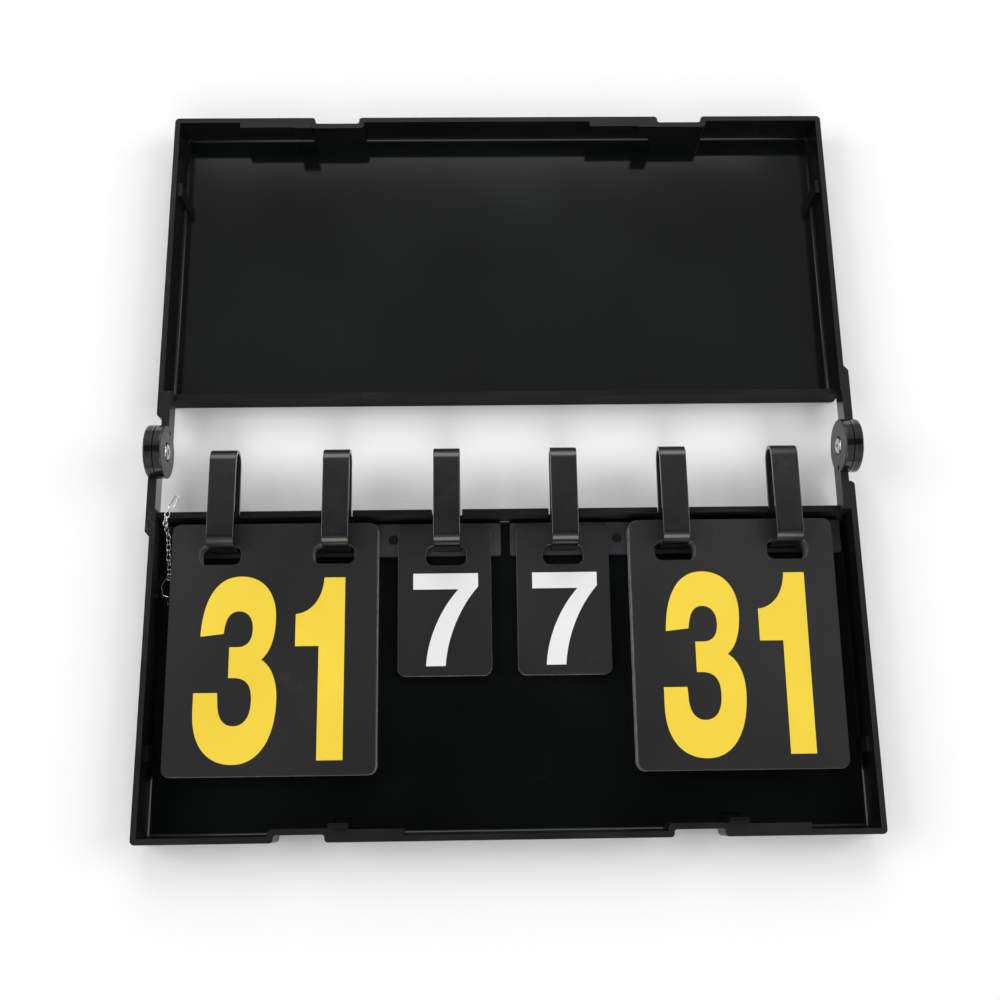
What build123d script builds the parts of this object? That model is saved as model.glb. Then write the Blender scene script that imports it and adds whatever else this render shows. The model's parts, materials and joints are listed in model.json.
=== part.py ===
from build123d import *
import os
from math import asin, cos, degrees, sin

# Folding tabletop flip scoreboard, opened flat on a table.
# Millimetres, +Z up. The origin is on the table, under the middle of the hinge line.
# +X runs along the hinge line, the card tray lies on the -Y side and the plain lid tray on the +Y side.

# ---- Case -------------------------------------------------------------------------------------
case_width = 385.0            # over the two side walls
tray_depth = 174.7            # hinge wall to closing wall, outer faces
tray_height = 21.6            # table to lip; the hinge line lies in the lip plane
hinge_gap = 32.7              # hinge line to the outer face of the hinge wall
wall = 3.0
floor_thickness = 2.2
hinge_wall_drop = 5.5         # the hinge wall stops this far below the lip
corner_radius = 2.5
base_edge_radius = 1.2
floor_fillet = 2.4

# ---- Closing wall: steps, thick lips and snap hooks -------------------------------------------
step_width = 26.0
step_inset = 3.9              # how far a stepped stretch of the wall stands in
step_starts = (72.0, case_width - 109.0)   # from the left-hand side of the card tray
lip_starts = (98.5, case_width - 82.5)
lip_lengths = (40.0, 44.0)
lip_extra = 3.3               # added to the wall inside, along a thick lip
lip_height = 9.0
hook_offset = 6.5             # hook centre from the start of its thick lip
hook_width = 10.0
hook_thickness = 2.0
hook_rise = 4.2               # above the lip plane
hook_gap = 0.5                # to the stepped wall of the other tray when shut
barb_depth = 0.35
barb_height = 1.4
mould_pocket_length = 6.0
mould_pocket_depth = 1.3
step_corner_radius = 2.0

# ---- Small ribs inside the side walls ----------------------------------------------------------
rib_setback = 45.4            # from the outer face of the closing wall
rib_length = 8.0
rib_depth = 2.6
rib_drop = 3.0                # below the lip

# ---- Hinge arms and eyes -----------------------------------------------------------------------
eye_radius = 14.8
eye_inset = 7.2               # inner face of the inner eye, inside the outer side face
eye_edge_radius = 0.7
eye_groove_width = 0.45
eye_groove_depth = 0.4
inner_eye = 4.3
washer_thickness = 0.6
outer_eye = 4.8
arm_height = 11.0
arm_run_in = 12.0             # the outer arm leaves the side wall this far inside the tray
arm_ramp = 3.0
run_out_gap = 5.4             # from the end of the side wall beside the inner arm to the other tray's eye
pin_diameter = 4.0
pin_clearance = 0.06          # radial, in the eyes
head_diameter = 9.0
head_height = 2.4
head_recess = 1.8
head_recess_diameter = 10.6
nut_across_flats = 7.0
nut_height = 3.2
nut_clearance = 0.15
cross_width = 1.1
cross_length = 4.6
cross_depth = 1.3
washer_diameter = 26.0
dimple_diameter = 3.0
dimple_depth = 0.5

# ---- Card rings: closed straps of flat plastic ---------------------------------------------------
ring_width = 14.5
ring_thickness = 2.0
ring_inset = 24.75            # centre of a large card's ring from the card's side edge
ring_front_rise = 4.5         # front run of a ring above the lip plane, at mid thickness
ring_rear_drop = 9.0          # rear run below it
ring_reach = 17.3             # upright leg from the inner face of the hinge wall
ring_bend = 5.0
ring_foot_bend = 1.35
ring_tail_reach = 1.3         # where the foot turns up, from the inner face of the hinge wall
ring_slot_clearance = 1.0     # each side, in the hinge wall's notch

# ---- Bars that clamp the rings' feet -------------------------------------------------------------
bar_lead = 0.15               # bar to the foot of the hinge wall's fillet
bar_margin = 3.5              # bar past the upright legs
bar_cover = 1.2               # over the feet
bar_gap = 5.2                 # between the two bars
bar_end_gap = 2.5             # to the side walls
bar_clearance = 0.15
bar_screw_head = 5.2
bar_screw_shank = 2.2
bar_screw_length = 4.2
bar_screw_head_height = 1.1

# ---- Cards --------------------------------------------------------------------------------------
card_thickness = 0.35
card_slack = 0.002            # between one card and the next
small_card = (50.5, 82.5)
centre_gap = 13.5             # between the two small cards
card_spacing = 10.05          # between a small card and a large one
card_side_gap = 11.2          # between a large card and the side wall
card_foot_gap = 30.6          # between a large card and the closing wall
large_count = 32
small_count = 8
card_corner = 4.5
slot_play = 8.1               # slot wider than its ring
slot_height = 11.2
slot_corner = 4.2
card_margin = 11.2            # top edge to slot
card_lead = 4.3               # top edge from the inner face of the hinge wall
card_rise = 0.75              # top edge above the bars
large_foot_rise = 0.9         # lower edge of the lowest card above the tray floor
small_foot_rise = 1.22
large_shift = (-2.5, 0.3)     # how far each large stack lies off its rings, left and right
small_shift = (-1.7, -0.6)
card_gap = 0.08               # between the pile and the card on top of it

# ---- Chain ----------------------------------------------------------------------------------------
chain_wire = 0.65
link_length = 3.9
link_width = 2.9
link_pitch = 2.5
hook_wire = 0.8
clip_wire = 0.8
chain_foot = (4.6, -30.7)     # fixed end, from the corner of the side wall and the hinge wall

# ---- Derived values -------------------------------------------------------------------------------
half_width = case_width / 2
eye_face = half_width - eye_inset
inner_half_width = half_width - wall
hinge_wall_inner = hinge_gap + wall
closing_face = hinge_gap + tray_depth
closing_inner = closing_face - wall
rib_position = closing_face - rib_setback
wall_run_out = hinge_gap - eye_radius - run_out_gap
step_inner_face = closing_face - step_inset - wall
lip_inner_face = closing_inner - lip_extra
hinge_wall_height = tray_height - hinge_wall_drop
washer_inner_face = eye_face + inner_eye
outer_eye_face = washer_inner_face + washer_thickness
outer_face = outer_eye_face + outer_eye
eye_bore = pin_diameter / 2 + pin_clearance
ring_leg = hinge_wall_inner + ring_reach
ring_tail = hinge_wall_inner + ring_tail_reach
bar_near = hinge_wall_inner + floor_fillet + bar_lead
bar_far = ring_leg + bar_margin
bar_pocket = ring_thickness + bar_clearance
bar_thickness = bar_pocket + bar_cover
bar_top = floor_thickness + bar_thickness
card_pitch = card_thickness + card_slack
slot_width = ring_width + slot_play
card_top = hinge_wall_inner + card_lead
large_card = (
    inner_half_width - card_side_gap - card_spacing - small_card[0] - centre_gap / 2,
    closing_inner - card_top - card_foot_gap,
)
ring_pitch = large_card[0] - 2 * ring_inset
large_centre = inner_half_width - card_side_gap - large_card[0] / 2
small_centre = (centre_gap + small_card[0]) / 2
ring_positions = {
    "left_outer_ring": -large_centre - ring_pitch / 2,
    "left_inner_ring": -large_centre + ring_pitch / 2,
    "left_small_ring": -small_centre,
    "right_small_ring": small_centre,
    "right_inner_ring": large_centre - ring_pitch / 2,
    "right_outer_ring": large_centre + ring_pitch / 2,
}
bar_screw_places = (
    (small_centre + large_centre - ring_pitch / 2) / 2,
    large_centre - 0.8,
    inner_half_width - 13.5,
)
card_level = bar_top + card_rise
card_drop = card_level - floor_thickness
large_tilt = degrees(asin((card_drop - large_foot_rise) / large_card[1]))
small_tilt = degrees(asin((card_drop - small_foot_rise) / small_card[1]))
chain_path = tuple(
    (across - inner_half_width, along - hinge_wall_inner, level)
    for across, along, level in (
        (5.5, 2.5, hinge_wall_height + 1.9),
        (4.1, -2.2, hinge_wall_height + 1.5),
        (3.5, -4.9, (hinge_wall_height + bar_top) / 2 + 1.175),
        (3.9, -8.9, bar_top + 2.15),
        (4.5, -20.7, bar_top + 1.75),
        (4.6, -25.9, floor_thickness + 2.1),
        (*chain_foot, floor_thickness + 1.7),
    )
)


def block(x0, x1, y0, y1, z0, z1):
    """A box between two corners."""
    centre = ((x0 + x1) / 2, (y0 + y1) / 2, (z0 + z1) / 2)
    return Pos(*centre) * Box(x1 - x0, y1 - y0, z1 - z0)


def plate(points, z0, z1):
    """A flat outline raised from z0 to z1."""
    outline = make_face(Polyline(*points, close=True))
    return Pos(0, 0, z0) * extrude(outline, z1 - z0)


def drum(radius, x0, x1):
    """A cylinder along X on the hinge line."""
    return Pos((x0 + x1) / 2, 0, tray_height) * Rot(0, 90, 0) * Cylinder(radius, abs(x1 - x0))


def merged(solids):
    """Many solids fused into one."""
    total = solids[0]
    for extra in solids[1:]:
        total = total + extra
    return total


def grouped(solids):
    """Separate solids kept side by side in one node."""
    return Compound(children=list(solids))


# ---- Trays ------------------------------------------------------------------------------------------
def tray_box():
    """Floor and walls, with the hinge wall lowered between the side walls."""
    outer = block(-half_width, half_width, -closing_face, -hinge_gap, 0, tray_height)
    outer = fillet(outer.edges().filter_by(Axis.Z), corner_radius)
    outer = fillet(outer.faces().sort_by(Axis.Z)[0].edges(), base_edge_radius)
    room = block(
        -inner_half_width, inner_half_width, -closing_inner, -hinge_wall_inner,
        floor_thickness, tray_height + 1,
    )
    room = fillet(room.faces().sort_by(Axis.Z)[0].edges(), floor_fillet)
    lowered = block(
        -inner_half_width, inner_half_width, -hinge_wall_inner - 0.5, -hinge_gap + 1,
        hinge_wall_height, tray_height + 1,
    )
    return outer - room - lowered


def stepped_wall(start):
    """What a step adds inside the closing wall, and what it takes off outside."""
    x0 = start - half_width
    x1 = x0 + step_width
    added = block(x0 - wall, x1 + wall, -closing_inner, -step_inner_face, floor_thickness / 2, tray_height)
    added = fillet(added.edges().filter_by(Axis.Z).group_by(Axis.Y)[-1], corner_radius)
    cut = block(x0, x1, -closing_face - 5, -closing_face + step_inset, -1, tray_height + 1)
    cut = fillet(cut.edges().filter_by(Axis.Z).group_by(Axis.Y)[-1], corner_radius - 1)
    return added, cut


def step_mouths(body):
    """The upright corners where the closing wall turns in to its steps."""
    mouths = [start - half_width + side for start in step_starts for side in (0, step_width)]
    return [
        edge for edge in body.edges().filter_by(Axis.Z)
        if abs(edge.center().Y + closing_face) < 0.01 and min(abs(edge.center().X - x) for x in mouths) < 0.01
    ]


def thick_lip(start, length):
    """The thickened stretch of lip beside a step, with a sloping underside."""
    x0 = start - half_width
    profile = make_face(Polyline(
        (-closing_inner - wall / 2, tray_height - lip_height),
        (-closing_inner, tray_height - lip_height),
        (-lip_inner_face, tray_height - lip_height + lip_extra),
        (-lip_inner_face, tray_height),
        (-closing_inner - wall / 2, tray_height),
        close=True,
    ))
    return Pos(x0, 0, 0) * extrude(Plane.YZ * profile, length)


def snap_hook(start):
    """A hook that stands above the lip and reaches inside the other tray's stepped wall."""
    centre = start - half_width + hook_offset
    outer_side = -step_inner_face + hook_gap
    inner_side = outer_side + hook_thickness
    top = tray_height + hook_rise
    root = tray_height - lip_height + lip_extra
    profile = make_face(Polyline(
        (-lip_inner_face - 0.5, root),
        (inner_side, root),
        (inner_side, top),
        (outer_side, top),
        (outer_side - barb_depth, top - barb_height / 2),
        (outer_side, top - barb_height),
        (outer_side, tray_height),
        (-lip_inner_face - 0.5, tray_height),
        close=True,
    ))
    return Pos(centre - hook_width / 2, 0, 0) * extrude(Plane.YZ * profile, hook_width)


def mould_pocket(start):
    """The shallow pocket in the floor under a hook."""
    centre = start - half_width + hook_offset
    near = -closing_inner + lip_extra - 0.4
    return block(
        centre - hook_width / 2, centre + hook_width / 2, near, near + mould_pocket_length,
        floor_thickness - mould_pocket_depth, floor_thickness + floor_fillet,
    )


def outer_arm():
    """Left-hand arm of the card tray: it stands out from the side wall and carries the outer eye."""
    bottom = tray_height - arm_height
    start = hinge_gap + arm_run_in
    arm = plate(
        (
            (-half_width, -start - arm_ramp),
            (-outer_face, -start),
            (-outer_face, 0),
            (-outer_eye_face, 0),
            (-outer_eye_face, -hinge_gap + 1),
            (-inner_half_width, -hinge_wall_inner),
            (-inner_half_width, -start - arm_ramp),
        ),
        bottom, tray_height,
    )
    eye = drum(eye_radius, -outer_face, -outer_eye_face)
    eye = fillet(eye.edges().group_by(Axis.X)[0], eye_edge_radius)
    for share in (0.42, 0.66):
        middle = -outer_face + outer_eye * share
        sleeve = drum(eye_radius + 1, middle - eye_groove_width / 2, middle + eye_groove_width / 2)
        eye = eye - (sleeve - drum(eye_radius - eye_groove_depth, middle - 1, middle + 1))
    return arm + eye


def inner_arm():
    """Right-hand arm of the card tray: it stands inside the side wall and carries the inner eye."""
    bottom = tray_height - arm_height
    flare = eye_face - 0.3
    arm = plate(
        (
            (eye_face, 0),
            (washer_inner_face, 0),
            (washer_inner_face, -hinge_gap),
            (inner_half_width + 0.5, -hinge_wall_inner),
            (flare, -hinge_wall_inner),
            (eye_face, -hinge_gap + 2),
        ),
        bottom, tray_height,
    )
    run_out = block(
        washer_inner_face - 0.5, half_width, -hinge_gap - corner_radius - 1, -hinge_gap + wall_run_out,
        bottom, tray_height,
    )
    run_out = fillet(run_out.edges().filter_by(Axis.Z).group_by(Axis.Y)[-1].sort_by(Axis.X)[-1:], corner_radius)
    eye = drum(eye_radius, eye_face, washer_inner_face)
    eye = fillet(eye.edges().group_by(Axis.X)[0], eye_edge_radius)
    return arm + run_out + eye


def half_case():
    """One tray with everything that both trays have."""
    body = tray_box()
    steps = [stepped_wall(start) for start in step_starts]
    for added, _ in steps:
        body = body + added
    for _, cut in steps:
        body = body - cut
    body = fillet(step_mouths(body), step_corner_radius)
    for start, length in zip(lip_starts, lip_lengths):
        body = body + thick_lip(start, length) + snap_hook(start)
        body = body - mould_pocket(start)
    rib_top = tray_height - rib_drop
    for side in (-1, 1):
        wall_side = side * inner_half_width
        rib = block(
            min(wall_side + side * wall / 2, wall_side - side * rib_depth),
            max(wall_side + side * wall / 2, wall_side - side * rib_depth),
            -rib_position - rib_length / 2, -rib_position + rib_length / 2,
            floor_thickness / 2, rib_top,
        )
        body = body + rib
    body = body + outer_arm() + inner_arm()
    return body - eye_cuts()


def eye_cuts():
    """Bores, the screw head's recess, the nut's hexagonal pocket and the dimple."""
    bore_left = drum(eye_bore, -outer_face - 1, -outer_eye_face + 0.05)
    bore_right = drum(eye_bore, eye_face - 1, washer_inner_face + 0.05)
    recess = drum(head_recess_diameter / 2, eye_face - 1, eye_face + head_recess)
    pocket_depth = nut_height + 0.2
    hexagon = RegularPolygon((nut_across_flats / 2) + nut_clearance, 6, major_radius=False)
    pocket = extrude(hexagon, pocket_depth + 1)
    pocket = Pos(-outer_face - 1, 0, tray_height) * Rot(0, 90, 0) * pocket
    reach = eye_radius - dimple_diameter
    dimple = Pos(eye_face, -reach, tray_height - dimple_diameter) * Rot(0, 90, 0)
    dimple = dimple * Cylinder(dimple_diameter / 2, 2 * dimple_depth)
    return merged([bore_left, bore_right, recess, pocket, dimple])


def lower_shell():
    """The card tray: notches for the rings, holes for the bar screws and a lug for the chain."""
    body = half_case()
    half_slot = ring_width / 2 + ring_slot_clearance
    for x in ring_positions.values():
        body = body - block(
            x - half_slot, x + half_slot, -hinge_wall_inner - floor_fillet, -hinge_gap + 1,
            floor_thickness, tray_height,
        )
    for side in (-1, 1):
        for place in bar_screw_places:
            boss_x = side * place
            body = body - Pos(boss_x, -(bar_near + bar_far) / 2, 0) * Cylinder(
                bar_screw_shank / 2, 3 * floor_thickness
            )
    return body + chain_lug()


def chain_lug():
    """A small eye on the tray floor that holds the chain's clip."""
    x, y, z = chain_end()
    lug = block(x - 1.5, x + 1.5, y - 14.2, y - 11.8, floor_thickness / 2, floor_thickness + 3.8)
    hole = Pos(x, y - 13, z) * Rot(90, 0, 0) * Cylinder(clip_wire / 2 + 0.35, 6)
    return lug - hole


def upper_shell():
    """The lid tray: the same moulding turned half a turn about Z."""
    return Rot(0, 0, 180) * half_case()


# ---- Hinge hardware ---------------------------------------------------------------------------------
def hinge_screw():
    """Pan-head screw with a cross recess, in its right-hand place."""
    seat = eye_face + head_recess
    head = drum(head_diameter / 2, seat - head_height, seat)
    head = fillet(head.edges().group_by(Axis.X)[0], 1.0)
    end = outer_face - 0.2
    shank = drum(pin_diameter / 2, seat - 0.1, end)
    face = seat - head_height
    cross = []
    for turn in (20, 110):
        slot = Box(cross_depth * 2, cross_length, cross_width)
        cross.append(Pos(face, 0, tray_height) * Rot(turn, 0, 0) * slot)
    return head + shank - cross[0] - cross[1]


def hinge_washer():
    """Friction washer between the two eyes."""
    ring = drum(washer_diameter / 2, washer_inner_face, outer_eye_face)
    return ring - drum(pin_diameter / 2 + 0.2, washer_inner_face - 1, outer_eye_face + 1)


def hinge_nut():
    """Lock nut in the outer eye's pocket, tight on the screw."""
    start = outer_face - nut_height - 0.2
    hexagon = extrude(RegularPolygon(nut_across_flats / 2, 6, major_radius=False), nut_height)
    nut = Pos(start, 0, tray_height) * Rot(0, 90, 0) * hexagon
    return nut - drum(pin_diameter / 2, start - 1, outer_face + 1)


# ---- Rings and bars -----------------------------------------------------------------------------------
def ring(x):
    """A closed strap: foot under the bar, rear run, nose on the hinge line, front run and leg."""
    front = tray_height + ring_front_rise
    rear = tray_height - ring_rear_drop
    nose = (front - rear) / 2
    middle = (front + rear) / 2
    foot = floor_thickness + ring_thickness / 2
    lead = hinge_wall_inner - wall / 2
    outline = [
        Line((-ring_tail, foot), (-ring_leg + ring_foot_bend, foot)),
        RadiusArc((-ring_leg + ring_foot_bend, foot), (-ring_leg, foot + ring_foot_bend), ring_foot_bend),
        Line((-ring_leg, foot + ring_foot_bend), (-ring_leg, front - ring_bend)),
        RadiusArc((-ring_leg, front - ring_bend), (-ring_leg + ring_bend, front), ring_bend),
        Line((-ring_leg + ring_bend, front), (-nose, front)),
        RadiusArc((-nose, front), (0, middle), nose),
        RadiusArc((0, middle), (-nose, rear), nose),
        Line((-nose, rear), (-lead, rear - 1.2)),
        Line((-lead, rear - 1.2), (-ring_tail + 1.6, foot + 2.4)),
        Line((-ring_tail + 1.6, foot + 2.4), (-ring_tail, foot)),
    ]
    path = Wire(outline)
    outside = make_face(offset(path, ring_thickness / 2, kind=Kind.ARC))
    inside = make_face(offset(path, -ring_thickness / 2, kind=Kind.INTERSECTION))
    loop = outside - inside
    strap = extrude(Plane.YZ * loop, ring_width)
    return Pos(x - ring_width / 2, 0, 0) * strap


def ring_bar(side):
    """A flat bar with three pockets over the rings' feet and three countersunk holes."""
    x0 = bar_gap / 2
    x1 = inner_half_width - bar_end_gap
    bar = block(side * x1 if side < 0 else x0, -x0 if side < 0 else x1, -bar_far, -bar_near,
                floor_thickness, bar_top)
    bar = fillet(bar.edges().filter_by(Axis.Z), 1.0)
    half_pocket = ring_width / 2 + bar_clearance
    for x in ring_positions.values():
        if x * side > 0:
            bar = bar - block(
                x - half_pocket, x + half_pocket,
                -ring_leg - ring_thickness / 2 - bar_clearance, -bar_near + 1,
                floor_thickness - 1, floor_thickness + bar_pocket,
            )
            bar = bar - block(
                x - half_pocket, x + half_pocket,
                -ring_leg - ring_thickness / 2 - bar_clearance,
                -ring_leg + ring_thickness / 2 + ring_foot_bend,
                floor_thickness - 1, bar_top + 1,
            )
    for place in bar_screw_places:
        hole = Pos(side * place, -(bar_near + bar_far) / 2, bar_top)
        bar = bar - hole * Cylinder(bar_screw_shank / 2, 3 * bar_thickness)
        bar = bar - hole * Cylinder(bar_screw_head / 2 + 0.1, 2 * bar_screw_head_height)
    return bar


def bar_screws(side):
    """Three flat-head screws that hold a bar to the tray floor."""
    screws = []
    for place in bar_screw_places:
        seat = bar_top - bar_screw_head_height
        head = Pos(0, 0, seat + bar_screw_head_height / 2) * Cylinder(bar_screw_head / 2, bar_screw_head_height)
        shank = Pos(0, 0, seat - bar_screw_length / 2 + 0.1) * Cylinder(
            bar_screw_shank / 2, bar_screw_length + 0.2
        )
        slots = [Rot(0, 0, turn) * Box(0.7, 3.0, 0.9) for turn in (30, 120)]
        cross = Pos(0, 0, bar_top) * (slots[0] + slots[1])
        screws.append(Pos(side * place, -(bar_near + bar_far) / 2, 0) * (head + shank - cross))
    return grouped(screws)


# ---- Cards ------------------------------------------------------------------------------------------
def card_blank(size, slot_centres):
    """One card lying flat with its top edge on the X axis and its slots cut."""
    width, height = size
    face = Pos(0, -height / 2) * RectangleRounded(width, height, card_corner)
    for x in slot_centres:
        slot = RectangleRounded(slot_width, slot_height, slot_corner)
        face = face - Pos(x, -card_margin - slot_height / 2) * slot
    return extrude(face, card_thickness)


def stack_place(centre, tilt):
    """Where a stack's flat frame lies: its top edge on the bar and its lower edge near the floor."""
    return Pos(centre, -card_top, card_level) * Rot(tilt, 0, 0)


def pile(size, slots, count, centre, tilt):
    """All the cards under the top one, each a solid of its own, not quite square to each other."""
    blank = card_blank(size, slots)
    cards = []
    for index in range(count - 1):
        sway = 0.28 * sin(2.4 * index + centre)
        slip = -0.12 - 0.12 * cos(1.7 * index)
        cards.append(Pos(sway, slip, index * card_pitch) * blank)
    place = stack_place(centre, tilt)
    return grouped([place * card for card in cards])


def front_card(size, slots, count, centre, tilt):
    """The card on top, which shows the score."""
    level = (count - 1) * card_pitch + card_gap
    return stack_place(centre, tilt) * Pos(0, 0, level) * card_blank(size, slots)


def slots_for(pitch, shift):
    """Slot centres on a card that lies off its rings by a shift."""
    return [-shift / 2 + x for x in pitch]


# ---- Chain ------------------------------------------------------------------------------------------
def chain_end():
    """The lower end of the chain, where its clip starts."""
    return chain_path[-1]


def chain_stations():
    """Evenly spaced link centres and directions along the chain's path."""
    points = [Vector(*p) for p in chain_path]
    lengths = [(b - a).length for a, b in zip(points, points[1:])]
    count = int(sum(lengths) / link_pitch)
    stations = []
    for index in range(count):
        distance = (index + 0.5) * link_pitch
        for a, b, run in zip(points, points[1:], lengths):
            if distance <= run:
                direction = (b - a).normalized()
                stations.append((a + direction * distance, direction))
                break
            distance -= run
    return stations


def link():
    """One oval wire link, long along X and lying in the XY plane."""
    straight = link_length - link_width
    radius = (link_width - chain_wire) / 2
    half = straight / 2
    path = Wire([
        Line((-half, -radius), (half, -radius)),
        ThreePointArc((half, -radius), (half + radius, 0), (half, radius)),
        Line((half, radius), (-half, radius)),
        ThreePointArc((-half, radius), (-half - radius, 0), (-half, -radius)),
    ])
    section = Plane(origin=(0, -radius, 0), z_dir=(1, 0, 0)) * Circle(chain_wire / 2)
    return sweep(section, path=path)


def chain_links():
    """The chain: links turned a quarter turn to each other so that they hook through."""
    blank = link()
    links = []
    for index, (centre, direction) in enumerate(chain_stations()):
        flat = Plane(origin=centre, x_dir=direction, z_dir=side_of(direction))
        turn = 45 if index % 2 else -45
        links.append(flat.location * Rot(turn, 0, 0) * blank)
    return grouped(links)


def side_of(direction):
    """A unit vector square to a direction and as near upright as it can be."""
    up = Vector(0, 0, 1)
    return (up - direction * direction.dot(up)).normalized()


def wire_loop(points, diameter, radius):
    """Round wire bent along points."""
    path = FilletPolyline(*points, radius=radius)
    start = path @ 0
    section = Plane(origin=start, z_dir=path % 0) * Circle(diameter / 2)
    return sweep(section, path=path)


def chain_hook():
    """The long open wire hook on the chain's free end, lying across the hinge wall."""
    x, y, z = chain_path[0]
    return wire_loop(
        (
            (x + 1.6, y + 1.6, z + 0.4),
            (x + 0.2, y + 1.2, z + 0.4),
            (x + 0.4, y + 3.4, z + 0.6),
            (x + 4.0, y + 9.1, z + 0.9),
            (x + 6.1, y + 8.2, z + 0.9),
            (x + 2.9, y + 2.2, z + 0.6),
        ),
        hook_wire, 0.65,
    )


def chain_clip():
    """The safety-pin clip at the chain's fixed end, passing through the tray's lug."""
    x, y, z = chain_end()
    return wire_loop(
        (
            (x + 0.9, y - 10.1, z),
            (x + 0.9, y - 0.2, z),
            (x - 1.5, y - 0.2, z),
            (x - 4.2, y - 5.0, z),
            (x - 2.9, y - 10.3, z),
            (x, y - 11.2, z),
            (x, y - 15.6, z),
        ),
        clip_wire, 0.6,
    )


# ---- Everything -----------------------------------------------------------------------------------
def all_parts():
    """Every node of the assembly by name."""
    mirror_side = Rot(0, 0, 180)
    parts = {
        "lower_shell": lower_shell(),
        "upper_shell": upper_shell(),
        "hinge_screw_right": hinge_screw(),
        "hinge_washer_right": hinge_washer(),
        "hinge_nut_right": hinge_nut(),
        "hinge_screw_left": mirror_side * hinge_screw(),
        "hinge_washer_left": mirror_side * hinge_washer(),
        "hinge_nut_left": mirror_side * hinge_nut(),
        "chain_links": chain_links(),
        "chain_hook": chain_hook(),
        "chain_clip": chain_clip(),
    }
    for name, x in ring_positions.items():
        parts[name] = ring(x)
    for side, label in ((-1, "left"), (1, "right")):
        parts[f"ring_bar_{label}"] = ring_bar(side)
        parts[f"bar_screws_{label}"] = bar_screws(side)
    for side, label in ((0, "left"), (1, "right")):
        sign = 2 * side - 1
        wide = slots_for((-ring_pitch / 2, ring_pitch / 2), large_shift[side])
        narrow = slots_for((0,), small_shift[side])
        large = (large_card, wide, large_count, sign * large_centre + large_shift[side], large_tilt)
        small = (small_card, narrow, small_count, sign * small_centre + small_shift[side], small_tilt)
        parts[f"large_pile_{label}"] = pile(*large)
        parts[f"large_card_{label}"] = front_card(*large)
        parts[f"small_pile_{label}"] = pile(*small)
        parts[f"small_card_{label}"] = front_card(*small)
    return parts


os.makedirs("parts", exist_ok=True)
for part_name, shape in all_parts().items():
    export_step(shape, f"parts/{part_name}.step")
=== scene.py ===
"""Folding tabletop flip score board, opened flat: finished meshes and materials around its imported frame."""

from __future__ import annotations

import json
import logging
import math
from collections.abc import Callable
from dataclasses import dataclass, field
from enum import Enum

import bmesh
import bpy
from mathutils import Matrix, Vector


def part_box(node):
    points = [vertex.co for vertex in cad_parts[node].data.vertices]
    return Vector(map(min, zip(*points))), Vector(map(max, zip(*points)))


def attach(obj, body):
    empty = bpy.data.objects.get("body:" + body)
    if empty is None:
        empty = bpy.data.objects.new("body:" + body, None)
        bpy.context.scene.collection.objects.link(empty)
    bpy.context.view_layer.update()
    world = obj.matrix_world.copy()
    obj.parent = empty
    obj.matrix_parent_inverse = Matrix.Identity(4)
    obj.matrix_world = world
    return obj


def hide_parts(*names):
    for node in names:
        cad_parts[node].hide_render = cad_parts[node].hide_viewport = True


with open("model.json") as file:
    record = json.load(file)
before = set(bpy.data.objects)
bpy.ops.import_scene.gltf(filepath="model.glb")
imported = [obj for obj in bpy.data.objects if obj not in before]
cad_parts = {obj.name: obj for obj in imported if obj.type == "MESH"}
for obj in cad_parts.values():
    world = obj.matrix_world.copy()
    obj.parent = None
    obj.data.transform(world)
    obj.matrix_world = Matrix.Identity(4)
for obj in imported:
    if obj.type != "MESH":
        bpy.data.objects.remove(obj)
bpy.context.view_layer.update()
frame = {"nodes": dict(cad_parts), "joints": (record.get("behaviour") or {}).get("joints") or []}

LOG = logging.getLogger("score_board")
MM = 0.001
FLAT_ANGLE = math.radians(0.4)
SHARP_ANGLE = math.radians(32)
WIRE_ANGLE = math.radians(60)
JOIN_DISTANCE = 1e-6
CUT_EDGE_LEAN = 0.9


class Side(Enum):
    """The two ends of the board, left and right as its user faces it."""

    LEFT = "left"
    RIGHT = "right"

    @property
    def sign(self) -> int:
        """-1 on the left and 1 on the right."""
        return -1 if self is Side.LEFT else 1


class CardSize(Enum):
    """The two sizes of flip card."""

    LARGE = "large"
    SMALL = "small"


# ---- Mesh tools ----------------------------------------------------------------------------------
def add_object(name: str, data: bpy.types.ID) -> bpy.types.Object:
    """Puts new data in the scene as an object at the origin.

    Args:
        name: the piece's name.
        data: a mesh or a curve.

    Returns:
        The new object.
    """
    piece = bpy.data.objects.new(name, data)
    bpy.context.scene.collection.objects.link(piece)
    return piece


def flattened(piece: bpy.types.Object) -> bpy.types.Object:
    """Turns an object's modifiers or curve into a plain mesh of the same name.

    Args:
        piece: an object with modifiers, or a curve.

    Returns:
        The object that holds the finished mesh, at the origin.
    """
    bpy.context.view_layer.update()
    graph = bpy.context.evaluated_depsgraph_get()
    mesh = bpy.data.meshes.new_from_object(piece.evaluated_get(graph), depsgraph=graph)
    name = piece.name
    old = piece.data
    bpy.data.objects.remove(piece)
    if old.users == 0 and isinstance(old, bpy.types.Mesh):
        bpy.data.meshes.remove(old)
    mesh.name = name
    return add_object(name, mesh)


def smooth_between(mesh: bpy.types.Mesh, angle: float = SHARP_ANGLE) -> None:
    """Shades a mesh smooth except across edges sharper than an angle.

    Args:
        mesh: the mesh to shade.
        angle: the sharpest edge that still shades smooth, in radians.
    """
    mesh.polygons.foreach_set("use_smooth", [True] * len(mesh.polygons))
    mesh.set_sharp_from_angle(angle=angle)


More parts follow.
